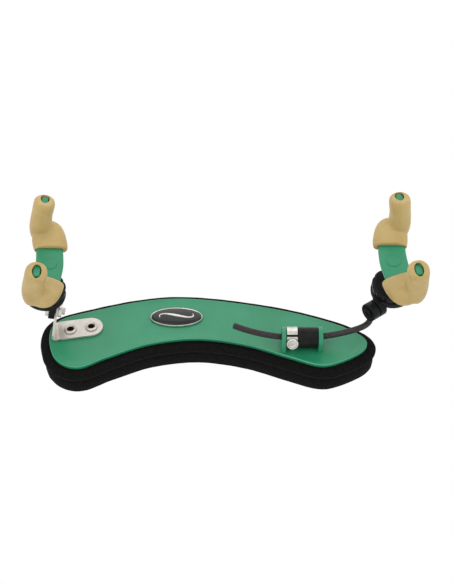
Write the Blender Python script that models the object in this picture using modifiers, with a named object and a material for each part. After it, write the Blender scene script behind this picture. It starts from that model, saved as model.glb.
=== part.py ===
"""Violin shoulder rest: a foam-backed plate with a folding fork at each end.

The left fork tilts on a sheet-metal bracket riveted to the plate. The right fork tilts on the
end of a curved rod, which slides and rolls in a clamp that stands on the plate.
Millimetres are turned into metres by MM. +Z is up, the foam's underside is at Z = 0.
"""
import math

import bmesh
import bpy
from mathutils import Matrix, Vector

MM = 0.001
GAP = 0.3                       # clearance between touching pieces
WELD = 0.01 * MM

# Pad and plate, stacked from the ground up
FOAM_SPLIT = 10.3               # top of the lower foam layer
FOAM_TOP = 15.2
PLATE_TOP = 18.5
PLATE_BOTTOM = FOAM_TOP + GAP
FOAM_OVERHANG = 5.6             # upper foam beyond the plate
FOAM_STEP = 1.4                 # lower foam is set back by this much
PLATE_OUTLINE = (
    (-109.5, -5.0), (-104.2, 8.5), (-82.3, 17.5), (-56.0, 25.2), (-32.0, 28.4), (-2.6, 25.8),
    (35.4, 17.5), (65.2, 6.7), (80.5, -2.3), (86.8, -10.0), (83.6, -18.4), (70.2, -26.9),
    (57.0, -30.2), (37.8, -23.0), (12.3, -12.7), (-17.3, -7.5), (-46.8, -11.8), (-71.9, -23.0),
    (-90.0, -32.0), (-104.0, -24.7),
)
OUTLINE_STEPS = 4               # curve steps between two outline points

# Badge
BADGE_CENTRE = (-31.1, 10.3)
BADGE_LENGTH, BADGE_WIDTH = 33.0, 16.5
BADGE_BEZEL = 1.1               # width of the bright rim
BADGE_HEIGHT = 1.0

# Sheet-metal bracket at the left
SHEET = 1.3
BRACKET_TURN = math.radians(10.5)
BRACKET_WIDTH = 15.4
BRACKET_END_X = -76.3
RIVET_PLACES = ((-96.6, -1.6), (-83.8, 0.8))
RIVET_RADIUS, RIVET_HOLE = 3.9, 2.1

# Clamp for the rod
CLAMP_Y, CLAMP_Z = -13.9, 25.3
EAR_LEFT_X, EAR_RIGHT_X, EAR_THICK = 35.3, 57.7, 2.8
EAR_HALF_WIDTH = 6.6
EAR_HOLE = 4.5
SLEEVE_RADIUS = 6.4
BAND_LENGTH = 6.6
BAND_RADIUS = 6.7
BAND_WALL = 1.0
BAND_SLOT = 1.2
CLAMP_SCREW_LIFT = math.radians(17.0)
CLAMP_SCREW_HEAD = 3.5

# Curved rod: an arc about a centre above the clamp, then a bend up into the eye
ROD_RADIUS = 1.9
ROD_BORE = 2.25
ARC_RADIUS = 85.0
ARC_X = 45.0
ARC_LEFT, ARC_RIGHT = math.radians(-28.2), math.radians(22.0)
ARC_STEPS = 18
BEND_REACH = 6.0
BEND_STEPS = 7

# Right hinge, where the rod's eye meets the fork carrier
HINGE_TURN = math.radians(38.0)
HINGE_LUG = (92.2, -4.6, 42.0)
HINGE_PITCH = 5.6
EYE_RADIUS = 5.7
EYE_THICK = 5.0
HINGE_SCREW_RADIUS = 1.25

# Forks: place of the bar's top centre, lean towards the middle, pitch towards -Y, and turn about Z
FORKS = {
    "left": {"top": (-104.3, -1.5, 74.6), "lean": 13.5, "pitch": 6.5, "turn": 2.0, "out": -1},
    "right": {"top": (99.1, -1.5, 76.7), "lean": -4.3, "pitch": 8.5, "turn": 5.7, "out": 1},
}
BAR_THICK = 2.8
BAR_WIDTH = 16.2
BOSS_RADIUS, BOSS_HEIGHT = 4.3, 0.5
HUB_RADIUS, HUB_LENGTH = 6.5, 5.0
POST_RADIUS = 2.5
POST_BOTTOM = {"left": -42.0, "right": -32.0}
WHEEL_TOP, WHEEL_BOTTOM = -20.6, -25.2
WHEEL_RADIUS = 12.6
WHEEL_NOTCH, WHEEL_NOTCHES = 1.0, 12
CARRIER_TOP, CARRIER_BOTTOM = -25.5, -29.6
CARRIER_RADIUS = 13.4

# Left pivot, in the left fork's own axes (x is across the bracket's upright)
PIVOT_X, PIVOT_Z = 10.0, -41.5
LUG_THICK, LUG_RADIUS = 3.9, 6.0
PIVOT_RADIUS, PIVOT_HEAD = 1.9, 5.0

# Rubber boots: centre (x outwards, y towards the fork's end, z up), width and depth
BOOT_STATIONS = (
    (0.1, 12.8, -1.3, 20.0, 8.6),
    (1.0, 17.0, -1.1, 20.6, 10.6),
    (3.4, 22.0, 0.0, 18.6, 12.8),
    (6.6, 25.6, 3.2, 15.2, 13.6),
    (8.8, 26.2, 9.0, 13.6, 13.4),
    (8.6, 26.4, 15.5, 12.8, 12.8),
    (8.2, 27.2, 23.4, 12.4, 12.4),
)
BOOT_WALL = 1.9
BOOT_SIDES = 16
BOOT_STEPS = 2
TIP_HOLE_WIDTH, TIP_HOLE_DEPTH = 5.4, 8.8
# Width and depth of the strip inside a boot, at the same stations
STRIP_SIZES = ((16.0, 2.8), (14.4, 2.8), (11.0, 3.0), (8.0, 4.4), (6.0, 5.6), (4.8, 6.6), (4.0, 7.2))
STRIP_SIDES = 12

COLOURS = {
    "foam": ((0.012, 0.012, 0.013), 0.95, 0.0),
    "green_plastic": ((0.03, 0.36, 0.19), 0.35, 0.0),
    "black_plastic": ((0.015, 0.015, 0.016), 0.35, 0.0),
    "rod_coat": ((0.02, 0.02, 0.021), 0.45, 0.0),
    "bright_steel": ((0.75, 0.74, 0.72), 0.22, 1.0),
    "rubber": ((0.75, 0.55, 0.25), 0.5, 0.0),
    "badge_black": ((0.01, 0.01, 0.012), 0.08, 0.0),
}


def start_scene():
    """Clear the scene and make the two collections."""
    for old in list(bpy.data.objects):
        bpy.data.objects.remove(old, do_unlink=True)
    for name in ("violin_shoulder_rest", "cutters"):
        made = bpy.data.collections.new(name)
        bpy.context.scene.collection.children.link(made)


def material(name):
    """Return the named material, made on first use."""
    if name in bpy.data.materials:
        return bpy.data.materials[name]
    colour, roughness, metallic = COLOURS[name]
    made = bpy.data.materials.new(name)
    made.use_nodes = True
    shader = made.node_tree.nodes["Principled BSDF"]
    shader.inputs["Base Color"].default_value = (*colour, 1.0)
    shader.inputs["Roughness"].default_value = roughness
    shader.inputs["Metallic"].default_value = metallic
    return made


def add_part(name, mesh, finish, matrix=None):
    """Link a mesh as a named part with its finish."""
    part = bpy.data.objects.new(name, mesh)
    bpy.data.collections["violin_shoulder_rest"].objects.link(part)
    if matrix is not None:
        part.matrix_world = matrix
    mesh.materials.clear()
    mesh.materials.append(material(finish))
    mesh.shade_smooth()
    mesh.set_sharp_from_angle(angle=math.radians(38.0))
    return part


def add_cutter(name, mesh, matrix=None):
    """Link a mesh as a cutter or a guide, which the build leaves out."""
    cutter = bpy.data.objects.new(name, mesh)
    bpy.data.collections["cutters"].objects.link(cutter)
    if matrix is not None:
        cutter.matrix_world = matrix
    cutter.hide_render = True
    cutter.display_type = "WIRE"
    return cutter


def boolean(part, tool, operation):
    """Cut or join a part with a tool object, with the exact solver."""
    modifier = part.modifiers.new(operation.lower(), "BOOLEAN")
    modifier.operation = operation
    modifier.object = tool


def soften(part, width, segments=2, angle=40.0):
    """Round a part's sharp edges."""
    modifier = part.modifiers.new("soften", "BEVEL")
    modifier.width = width * MM
    modifier.segments = segments
    modifier.limit_method = "ANGLE"
    modifier.angle_limit = math.radians(angle)


def axis_matrix(origin, direction):
    """Matrix that puts local +Z along a direction, at a place in millimetres."""
    turn = Vector(direction).to_track_quat("Z", "Y").to_matrix().to_4x4()
    return Matrix.Translation(Vector(origin) * MM) @ turn


def fork_matrix(side):
    """Matrix from a fork's own axes to the world."""
    return lean_matrix(side) @ Matrix.Rotation(math.radians(FORKS[side]["turn"]), 4, "Z")


def lean_matrix(side):
    """Matrix from the leaning, unturned axes of a fork's post to the world."""
    fork = FORKS[side]
    lean = Matrix.Rotation(math.radians(fork["lean"]), 4, "Y")
    pitch = Matrix.Rotation(math.radians(fork["pitch"]), 4, "X")
    return Matrix.Translation(Vector(fork["top"]) * MM) @ lean @ pitch


def curve_mesh(curve, name):
    """Turn a curve into a welded mesh, and remove the curve."""
    holder = bpy.data.objects.new(name + "_curve", curve)
    bpy.data.collections["cutters"].objects.link(holder)
    graph = bpy.context.evaluated_depsgraph_get()
    graph.update()
    mesh = bpy.data.meshes.new_from_object(holder.evaluated_get(graph))
    mesh.name = name
    bpy.data.objects.remove(holder, do_unlink=True)
    bpy.data.curves.remove(curve)
    work = bmesh.new()
    work.from_mesh(mesh)
    bmesh.ops.remove_doubles(work, verts=work.verts, dist=WELD)
    bmesh.ops.dissolve_limit(work, angle_limit=math.radians(0.5), verts=work.verts, edges=work.edges)
    bmesh.ops.recalc_face_normals(work, faces=work.faces)
    work.to_mesh(mesh)
    work.free()
    return mesh


def slab_mesh(name, points, low, high, smooth):
    """Solid of a flat outline between two heights, in millimetres."""
    curve = bpy.data.curves.new(name, "CURVE")
    curve.dimensions = "2D"
    curve.fill_mode = "BOTH"
    curve.extrude = (high - low) / 2 * MM
    curve.resolution_u = OUTLINE_STEPS
    spline = curve.splines.new("BEZIER" if smooth else "POLY")
    nodes = spline.bezier_points if smooth else spline.points
    nodes.add(len(points) - 1)
    for node, (x, y) in zip(nodes, points):
        if smooth:
            node.co = (x * MM, y * MM, 0.0)
            node.handle_left_type = node.handle_right_type = "AUTO"
        else:
            node.co = (x * MM, y * MM, 0.0, 1.0)
    spline.use_cyclic_u = True
    mesh = curve_mesh(curve, name)
    mesh.transform(Matrix.Translation((0.0, 0.0, (low + high) / 2 * MM)))
    return mesh


def turned_mesh(name, profile, steps):
    """Solid turned about Z from a profile (radius, height) that runs down its outer side."""
    mesh = bpy.data.meshes.new(name)
    work = bmesh.new()
    rim = [work.verts.new((r * MM, 0.0, z * MM)) for r, z in profile]
    closed = profile[0][0] > 0.0
    for first, second in zip(rim, rim[1:] + (rim[:1] if closed else [])):
        work.edges.new((first, second))
    work.to_mesh(mesh)
    work.free()
    holder = add_cutter(name + "_profile", mesh)
    screw = holder.modifiers.new("turn", "SCREW")
    screw.axis = "Z"
    screw.steps = screw.render_steps = steps
    screw.use_merge_vertices = True
    screw.merge_threshold = WELD
    graph = bpy.context.evaluated_depsgraph_get()
    graph.update()
    made = bpy.data.meshes.new_from_object(holder.evaluated_get(graph))
    made.name = name
    bpy.data.objects.remove(holder, do_unlink=True)
    return made


def pin_mesh(name, radius, low, high, steps=24):
    """Plain round pin along Z."""
    return turned_mesh(name, ((0.0, high), (radius, high), (radius, low), (0.0, low)), steps)


def box_mesh(name, low, high):
    """Box between two corners, in millimetres."""
    size = Vector(high) - Vector(low)
    centre = (Vector(high) + Vector(low)) / 2
    work = bmesh.new()
    bmesh.ops.create_cube(work, size=1.0)
    bmesh.ops.scale(work, vec=size * MM, verts=work.verts)
    bmesh.ops.translate(work, vec=centre * MM, verts=work.verts)
    mesh = bpy.data.meshes.new(name)
    work.to_mesh(mesh)
    work.free()
    return mesh


def tube_mesh(name, points, radius, sides):
    """Round bar through points in metres, with its ends closed."""
    curve = bpy.data.curves.new(name, "CURVE")
    curve.dimensions = "3D"
    curve.bevel_depth = radius * MM
    curve.bevel_resolution = sides // 4 - 1
    curve.use_fill_caps = True
    spline = curve.splines.new("POLY")
    spline.points.add(len(points) - 1)
    for node, place in zip(spline.points, points):
        node.co = (*place, 1.0)
    return curve_mesh(curve, name)


def offset_outline(points, distance):
    """Move every point of an outline outwards (the outline runs clockwise)."""
    moved = []
    for index, (x, y) in enumerate(points):
        before = Vector(points[index - 1])
        after = Vector(points[(index + 1) % len(points)])
        along = (after - before).normalized()
        moved.append((x - along.y * distance, y + along.x * distance))
    return moved


def oval(centre, length, width, count=28):
    """Points of an ellipse."""
    turns = [2 * math.pi * step / count for step in range(count)]
    return [(centre[0] + length / 2 * math.cos(a), centre[1] + width / 2 * math.sin(a)) for a in turns]


def round_ended(radius, low, reach, count=12):
    """Outline of a lug: a half round of a radius about the origin, and straight sides to reach."""
    arc = [math.pi * step / count for step in range(count + 1)]
    points = [(radius * math.cos(a), radius * math.sin(a) * low) for a in arc]
    return points + [(-radius, reach), (radius, reach)]


# ---------------------------------------------------------------- pad, plate and badge
def build_pad_and_plate():
    """Two foam layers, the plate with the clamp's ears, and the badge."""
    lower = offset_outline(PLATE_OUTLINE, FOAM_OVERHANG - FOAM_STEP)
    upper = offset_outline(PLATE_OUTLINE, FOAM_OVERHANG)
    pad = add_part("foam_pad", slab_mesh("foam_pad", lower, 0.0, FOAM_SPLIT, True), "foam")
    soften(pad, 1.2, 1)
    layer = slab_mesh("foam_top_layer", upper, FOAM_SPLIT + GAP, FOAM_TOP, True)
    soften(add_part("foam_top_layer", layer, "foam"), 1.2, 1)

    plate = slab_mesh("base_plate", PLATE_OUTLINE, PLATE_BOTTOM, PLATE_TOP, True)
    plate = add_part("base_plate", plate, "green_plastic")
    soften(plate, 0.6, 1)
    for name, middle in (("left_ear", EAR_LEFT_X), ("right_ear", EAR_RIGHT_X)):
        ear = slab_mesh(name, ear_outline(), -EAR_THICK / 2, EAR_THICK / 2, False)
        stand = Matrix.Translation(Vector((middle, CLAMP_Y, CLAMP_Z)) * MM)
        stand = stand @ Matrix.Rotation(math.pi / 2, 4, "Z") @ Matrix.Rotation(math.pi / 2, 4, "X")
        boolean(plate, add_cutter(name, ear, stand), "UNION")
    hole = pin_mesh("ear_hole", EAR_HOLE, EAR_LEFT_X - 5.0, EAR_RIGHT_X + 5.0)
    boolean(plate, add_cutter("ear_hole", hole, axis_matrix((0.0, CLAMP_Y, CLAMP_Z), (1, 0, 0))),
            "DIFFERENCE")

    inner_length, inner_width = BADGE_LENGTH - 2 * BADGE_BEZEL, BADGE_WIDTH - 2 * BADGE_BEZEL
    base = PLATE_TOP + GAP
    rim = oval(BADGE_CENTRE, BADGE_LENGTH, BADGE_WIDTH)
    bezel = add_part("badge_bezel", slab_mesh("badge_bezel", rim, base, base + BADGE_HEIGHT, False),
                     "bright_steel")
    window = oval(BADGE_CENTRE, inner_length, inner_width)
    boolean(bezel, add_cutter("badge_window", slab_mesh("badge_window", window, base + 0.4,
                                                        base + 3.0, False)), "DIFFERENCE")
    dome_base = base + 0.4 + GAP
    dome = oval(BADGE_CENTRE, inner_length - 2 * GAP, inner_width - 2 * GAP)
    dome = add_part("badge_dome", slab_mesh("badge_dome", dome, dome_base, dome_base + 1.6, False),
                    "badge_black")
    soften(dome, 1.2, 2)


def ear_outline():
    """Upright ear: round about the bore, straight down into the plate."""
    sink = PLATE_TOP - 1.0 - CLAMP_Z
    arc = [math.pi * step / 14 for step in range(15)]
    points = [(EAR_HALF_WIDTH * math.cos(a), EAR_HALF_WIDTH * math.sin(a)) for a in arc]
    return points + [(-EAR_HALF_WIDTH, sink), (EAR_HALF_WIDTH, sink)]


# ---------------------------------------------------------------- left bracket and its pivot
def build_bracket():
    """Bent strip with two eyelets, and the pivot bolt through its upright."""
    low, high = PLATE_TOP + GAP, PLATE_TOP + GAP + SHEET
    lean = lean_matrix("left")
    slope = Matrix.Rotation(math.radians(FORKS["left"]["lean"]), 4, "Y")
    upright_axis = slope.to_3x3() @ Vector((0.0, 0.0, 1.0))
    pivot = lean @ (Vector((PIVOT_X, 0.0, PIVOT_Z)) * MM) / MM
    drop = (pivot.z - low) / upright_axis.z
    bend_x = pivot.x - drop * upright_axis.x
    bend_y = -3.0

    half = BRACKET_WIDTH / 2
    length = BRACKET_END_X - half - bend_x
    arc = [math.pi / 2 - math.pi * step / 12 for step in range(13)]
    strip = [(length + half * math.cos(a), half * math.sin(a)) for a in arc]
    strip = [(-half * math.tan(-BRACKET_TURN), half)] + strip + [(-half * math.tan(BRACKET_TURN), -half)]
    place = Matrix.Translation(Vector((bend_x, bend_y, 0.0)) * MM) @ Matrix.Rotation(BRACKET_TURN, 4, "Z")
    strip_mesh = slab_mesh("side_bracket", strip, low, high, False)
    strip_mesh.transform(place)
    bracket = add_part("side_bracket", strip_mesh, "bright_steel")

    reach = half / math.cos(BRACKET_TURN)
    top = [math.pi * step / 12 for step in range(13)]
    centre_y = pivot.y - bend_y
    rim = [(centre_y + LUG_RADIUS * math.cos(a), drop + LUG_RADIUS * math.sin(a)) for a in top]
    upright = rim + [(-reach, drop * 0.45), (-reach, 0.0), (reach, 0.0), (reach, drop * 0.45)]
    sheet = slab_mesh("bracket_upright", upright, -SHEET / 2, SHEET / 2, False)
    stand = Matrix.Translation(Vector((bend_x, bend_y, low)) * MM) @ slope
    stand = stand @ Matrix.Rotation(math.pi / 2, 4, "Z") @ Matrix.Rotation(math.pi / 2, 4, "X")
    boolean(bracket, add_cutter("bracket_upright", sheet, stand), "UNION")
    bolt_axis = lean @ Matrix.Translation(Vector((PIVOT_X, 0.0, PIVOT_Z)) * MM)
    bolt_axis = bolt_axis @ Matrix.Rotation(math.pi / 2, 4, "Y")
    hole = pin_mesh("bracket_hole", PIVOT_RADIUS + GAP, -6.0, 6.0)
    boolean(bracket, add_cutter("bracket_hole", hole, bolt_axis), "DIFFERENCE")
    for number, (x, y) in enumerate(RIVET_PLACES, 1):
        add_eyelet(bracket, number, x, y, low, high)
    build_left_pivot(bolt_axis)


def add_eyelet(bracket, number, x, y, low, high):
    """Tubular rivet through the strip; its own head stands on the strip."""
    place = Matrix.Translation(Vector((x, y, 0.0)) * MM)
    hole = pin_mesh(f"rivet_hole_{number}", RIVET_HOLE + 0.6 + GAP, low - 2.0, high + 2.0)
    boolean(bracket, add_cutter(f"rivet_hole_{number}", hole, place), "DIFFERENCE")
    wall, bore = RIVET_HOLE + 0.6, RIVET_HOLE
    head = high + GAP
    profile = ((bore, head + 0.5), (bore + 0.7, head + 0.9), (RIVET_RADIUS - 0.6, head + 0.8),
               (RIVET_RADIUS, head + 0.2), (RIVET_RADIUS, head), (wall, head), (wall, low),
               (bore, low))
    add_part(f"bracket_eyelet_{number}", turned_mesh(f"bracket_eyelet_{number}", profile, 28),
             "bright_steel", place)


def build_left_pivot(bolt_axis):
    """Bolt with its head on the inner side, and a nut on the outer side of the lug."""
    inner = SHEET / 2 + GAP
    lug_far = -(SHEET / 2 + GAP + LUG_THICK + GAP)
    nut_thick = 1.9
    head = ((0.0, inner + 2.6), (PIVOT_HEAD - 0.8, inner + 2.6), (PIVOT_HEAD, inner + 1.6),
            (PIVOT_HEAD, inner), (PIVOT_RADIUS, inner), (PIVOT_RADIUS, lug_far - nut_thick),
            (0.0, lug_far - nut_thick))
    add_part("left_pivot_bolt", turned_mesh("left_pivot_bolt", head, 24), "bright_steel", bolt_axis)
    nut = pin_mesh("left_pivot_nut", PIVOT_HEAD, lug_far - nut_thick, lug_far, 6)
    nut = add_part("left_pivot_nut", nut, "bright_steel", bolt_axis)
    bore = pin_mesh("nut_bore", PIVOT_RADIUS + GAP, lug_far - 4.0, lug_far + 2.0)
    boolean(nut, add_cutter("nut_bore", bore, bolt_axis), "DIFFERENCE")


# ---------------------------------------------------------------- clamp and rod
def arc_point(angle):
    """Point on the rod's arc, in metres."""
    return Vector((ARC_X + ARC_RADIUS * math.sin(angle), CLAMP_Y,
                   CLAMP_Z + ARC_RADIUS * (1 - math.cos(angle)))) * MM


def hinge_axis():
    """Direction of the right hinge."""
    return Vector((math.cos(HINGE_TURN), math.sin(HINGE_TURN), 0.0))


def eye_centre():
    """Centre of the rod's eye, in millimetres."""
    return Vector(HINGE_LUG) - HINGE_PITCH * hinge_axis()


def rod_route():
    """The rod's middle line: the arc, then a bend up to the eye."""
    span = ARC_RIGHT - ARC_LEFT
    route = [arc_point(ARC_LEFT + span * step / ARC_STEPS) for step in range(ARC_STEPS + 1)]
    start = route[-1]
    heading = Vector((math.cos(ARC_RIGHT), 0.0, math.sin(ARC_RIGHT)))
    arrival = Vector((0.0, 0.0, 1.0))
    finish = (eye_centre() - (EYE_RADIUS + 2 * GAP) * arrival) * MM
    near = start + heading * BEND_REACH * MM
    far = finish - arrival * BEND_REACH * 0.8 * MM
    for step in range(1, BEND_STEPS + 1):
        t = step / BEND_STEPS
        route.append(start * (1 - t) ** 3 + near * 3 * t * (1 - t) ** 2
                     + far * 3 * t * t * (1 - t) + finish * t ** 3)
    return route


def build_clamp():
    """Sleeve between the ears, split band round it, and the band's screw."""
    left = EAR_LEFT_X + EAR_THICK / 2 + GAP
    right = EAR_RIGHT_X - EAR_THICK / 2 - GAP
    shoulder = left + BAND_LENGTH + GAP
    neck = BAND_RADIUS - BAND_WALL - GAP
    place = axis_matrix((0.0, CLAMP_Y, CLAMP_Z), (1, 0, 0))
    spigot = EAR_HOLE - GAP
    profile = ((0.0, right + EAR_THICK), (spigot, right + EAR_THICK), (spigot, right),
               (SLEEVE_RADIUS - 0.5, right), (SLEEVE_RADIUS, right - 0.5),
               (SLEEVE_RADIUS, shoulder), (neck, shoulder), (neck, left), (spigot, left),
               (spigot, left - EAR_THICK), (0.0, left - EAR_THICK))
    sleeve = add_part("clamp_sleeve", turned_mesh("clamp_sleeve", profile, 32), "black_plastic", place)
    reach = math.radians(12.0)
    path = [arc_point(-reach + 2 * reach * step / 8) for step in range(9)]
    boolean(sleeve, add_cutter("sleeve_bore", tube_mesh("sleeve_bore", path, ROD_BORE, 16)),
            "DIFFERENCE")

    ring = ((BAND_RADIUS - BAND_WALL, left + BAND_LENGTH), (BAND_RADIUS, left + BAND_LENGTH),
            (BAND_RADIUS, left), (BAND_RADIUS - BAND_WALL, left))
    band = add_part("clamp_band", turned_mesh("clamp_band", ring, 32), "bright_steel", place)
    middle = left + BAND_LENGTH / 2
    centre = Vector((middle, CLAMP_Y, CLAMP_Z))
    outward = Vector((0.0, -math.cos(CLAMP_SCREW_LIFT), math.sin(CLAMP_SCREW_LIFT)))
    screw_axis = axis_matrix(centre, outward)
    slot = box_mesh("band_slot", (-BAND_LENGTH, -BAND_SLOT / 2, 3.0), (BAND_LENGTH, BAND_SLOT / 2, 9.0))
    slot_axis = Matrix.Translation(centre * MM) @ Matrix.Rotation(math.radians(50.0), 4, "X")
    boolean(band, add_cutter("band_slot", slot, slot_axis), "DIFFERENCE")
    seat = BAND_RADIUS + 0.4
    shank = ((0.0, seat + 2.2), (CLAMP_SCREW_HEAD - 0.6, seat + 2.2), (CLAMP_SCREW_HEAD, seat + 1.6),
             (CLAMP_SCREW_HEAD, seat), (1.2, seat), (1.2, BAND_RADIUS - BAND_WALL + 0.15),
             (0.0, BAND_RADIUS - BAND_WALL + 0.15))
    add_part("clamp_screw", turned_mesh("clamp_screw", shank, 24), "bright_steel", screw_axis)
    hole = pin_mesh("band_hole", 1.2 + GAP, 3.0, 9.0, 16)
    boolean(band, add_cutter("band_hole", hole, screw_axis), "DIFFERENCE")


def build_rod():
    """Bent rod, its eye and the hinge screw."""
    add_part("adjusting_rod", tube_mesh("adjusting_rod", rod_route(), ROD_RADIUS, 16), "rod_coat")
    axis = axis_matrix(eye_centre(), hinge_axis())
    half = EYE_THICK / 2
    profile = ((HINGE_SCREW_RADIUS + GAP, half), (EYE_RADIUS, half), (EYE_RADIUS, 0.6 - half),
               (EYE_RADIUS - 0.6, -half), (HINGE_SCREW_RADIUS + GAP, -half))
    add_part("rod_eye", turned_mesh("rod_eye", profile, 28), "black_plastic", axis)
    head = -(half + GAP)
    tail = HINGE_PITCH + half + GAP
    screw = ((0.0, tail + 1.6), (HINGE_SCREW_RADIUS, tail + 1.6), (HINGE_SCREW_RADIUS, head),
             (2.6, head), (2.6, head - 0.7), (1.9, head - 1.2), (0.0, head - 1.2))
    add_part("hinge_screw", turned_mesh("hinge_screw", screw, 24), "bright_steel", axis)
    nut = ((HINGE_SCREW_RADIUS + GAP, tail + 1.4), (3.0, tail + 1.4), (3.0, tail),
           (HINGE_SCREW_RADIUS + GAP, tail))
    add_part("hinge_nut", turned_mesh("hinge_nut", nut, 6), "bright_steel", axis)


# ---------------------------------------------------------------- fork carriers
def carrier_disc(side):
    """Round black carrier that the fork's post runs in."""
    rim = CARRIER_RADIUS
    profile = ((POST_RADIUS + GAP, CARRIER_TOP), (rim - 0.8, CARRIER_TOP), (rim, CARRIER_TOP - 0.8),
               (rim, CARRIER_TOP - 1.6), (rim - 0.7, (CARRIER_TOP + CARRIER_BOTTOM) / 2),
               (rim, CARRIER_BOTTOM + 1.4), (rim - 0.9, CARRIER_BOTTOM), (POST_RADIUS + GAP, CARRIER_BOTTOM))
    mesh = turned_mesh(f"{side}_carrier", profile, 32)
    return add_part(f"{side}_carrier", mesh, "black_plastic", lean_matrix(side))


def build_left_carrier():
    """Carrier with a lug that hangs beside the bracket's upright."""
    carrier = carrier_disc("left")
    reach = CARRIER_BOTTOM - PIVOT_Z + 1.0
    outline = round_ended(LUG_RADIUS, -1.0, reach)
    lug = slab_mesh("left_lug", outline, -LUG_THICK / 2, LUG_THICK / 2, False)
    middle = PIVOT_X - SHEET / 2 - GAP - LUG_THICK / 2
    stand = lean_matrix("left") @ Matrix.Translation(Vector((middle, 0.0, PIVOT_Z)) * MM)
    upright = stand @ Matrix.Rotation(math.pi / 2, 4, "Z") @ Matrix.Rotation(math.pi / 2, 4, "X")
    boolean(carrier, add_cutter("left_lug", lug, upright), "UNION")
    bore = pin_mesh("left_lug_bore", PIVOT_RADIUS + GAP, -6.0, 6.0)
    turn = stand @ Matrix.Rotation(math.pi / 2, 4, "Y")
    boolean(carrier, add_cutter("left_lug_bore", bore, turn), "DIFFERENCE")


def build_right_carrier():
    """Carrier with a lug that meets the rod's eye."""
    carrier = carrier_disc("right")
    axis = axis_matrix(HINGE_LUG, hinge_axis())
    half = EYE_THICK / 2
    lug = add_cutter("right_lug", pin_mesh("right_lug", EYE_RADIUS, -half, half, 28), axis)
    boolean(carrier, lug, "UNION")
    web = box_mesh("right_web", (-3.4, 0.6 - half, 0.0), (3.4, half - 0.6, 7.6))
    turn = Matrix.Translation(Vector(HINGE_LUG) * MM) @ Matrix.Rotation(HINGE_TURN - math.pi / 2, 4, "Z")
    boolean(carrier, add_cutter("right_web", web, turn), "UNION")
    bore = add_cutter("right_lug_bore", pin_mesh("right_lug_bore", HINGE_SCREW_RADIUS + GAP, -9.0, 9.0), axis)
    boolean(carrier, bore, "DIFFERENCE")


# ---------------------------------------------------------------- forks
def smooth_stations(stations, steps):
    """Catmull-Rom points through the stations."""
    out = []
    last = len(stations) - 1
    for index in range(last):
        four = [stations[max(index - 1, 0)], stations[index], stations[index + 1],
                stations[min(index + 2, last)]]
        for step in range(steps):
            t = step / steps
            weights = (-0.5 * t + t * t - 0.5 * t ** 3, 1 - 2.5 * t * t + 1.5 * t ** 3,
                       0.5 * t + 2 * t * t - 1.5 * t ** 3, -0.5 * t * t + 0.5 * t ** 3)
            out.append(tuple(sum(w * p[k] for w, p in zip(weights, four))
                             for k in range(len(stations[0]))))
    out.append(tuple(stations[last]))
    return out


def station_frames(rows):
    """Centre, across and deep directions for each row of a path."""
    frames = []
    for index, row in enumerate(rows):
        before, after = rows[max(index - 1, 0)], rows[min(index + 1, len(rows) - 1)]
        along = (Vector(after[:3]) - Vector(before[:3])).normalized()
        across = Vector((1.0, 0.0, 0.0))
        across = (across - along * across.dot(along)).normalized()
        frames.append((Vector(row[:3]), across, along.cross(across)))
    return frames


def ring_points(frame, width, depth, sides, power):
    """Points of a rounded rectangle about a frame."""
    centre, across, deep = frame
    points = []
    for step in range(sides):
        turn = 2 * math.pi * (step + 0.5) / sides
        c, s = math.cos(turn), math.sin(turn)
        x = math.copysign(abs(c) ** (2 / power), c) * width / 2
        y = math.copysign(abs(s) ** (2 / power), s) * depth / 2
        points.append(centre + across * x + deep * y)
    return points


def mirrored(points, out, end):
    """Turn points of the right-far pattern into those of another corner of a fork."""
    return [Vector((p.x * out, p.y * end, p.z)) * MM for p in points]


def skin_rings(name, rings, closed_loop):
    """Skin a run of rings; a closed loop joins the last ring to the first."""
    work = bmesh.new()
    loops = [[work.verts.new(p) for p in ring] for ring in rings]
    pairs = list(zip(loops, loops[1:] + (loops[:1] if closed_loop else [])))
    for one, two in pairs if closed_loop else pairs[:len(loops) - 1]:
        for k in range(len(one)):
            n = (k + 1) % len(one)
            work.faces.new((one[k], one[n], two[n], two[k]))
    if not closed_loop:
        work.faces.new(loops[0])
        work.faces.new(loops[-1])
    bmesh.ops.recalc_face_normals(work, faces=work.faces)
    mesh = bpy.data.meshes.new(name)
    work.to_mesh(mesh)
    work.free()
    return mesh


def boot_rings():
    """Rings of a boot: up its outside, round the tip, and back down its inside."""
    rows = smooth_stations(BOOT_STATIONS, BOOT_STEPS)
    frames = station_frames(rows)
    outside = [ring_points(f, r[3], r[4], BOOT_SIDES, 2.6) for f, r in zip(frames, rows)]
    inside = [ring_points(f, r[3] - 2 * BOOT_WALL, r[4] - 2 * BOOT_WALL, BOOT_SIDES, 4.0)
              for f, r in zip(frames[:-1], rows[:-1])]
    tip = ring_points(frames[-1], TIP_HOLE_WIDTH, TIP_HOLE_DEPTH, BOOT_SIDES, 2.4)
    lip = ring_points(frames[-1], rows[-1][3] - 1.6, rows[-1][4] - 1.6, BOOT_SIDES, 2.4)
    rise = frames[-1][1].cross(frames[-1][2]) * 1.0
    lip = [p + rise for p in lip]
    tip = [p + rise for p in tip]
    return outside + [lip, tip] + inside[::-1]


def strip_rings():
    """Rings of the strip inside one boot, from the bar's middle to the tip."""
    sized = [row[:3] + size for row, size in zip(BOOT_STATIONS, STRIP_SIZES)]
    rows = smooth_stations(sized, BOOT_STEPS)
    frames = station_frames(rows)
    return [ring_points(f, r[3], r[4], STRIP_SIDES, 5.0) for f, r in zip(frames, rows)]


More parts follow.
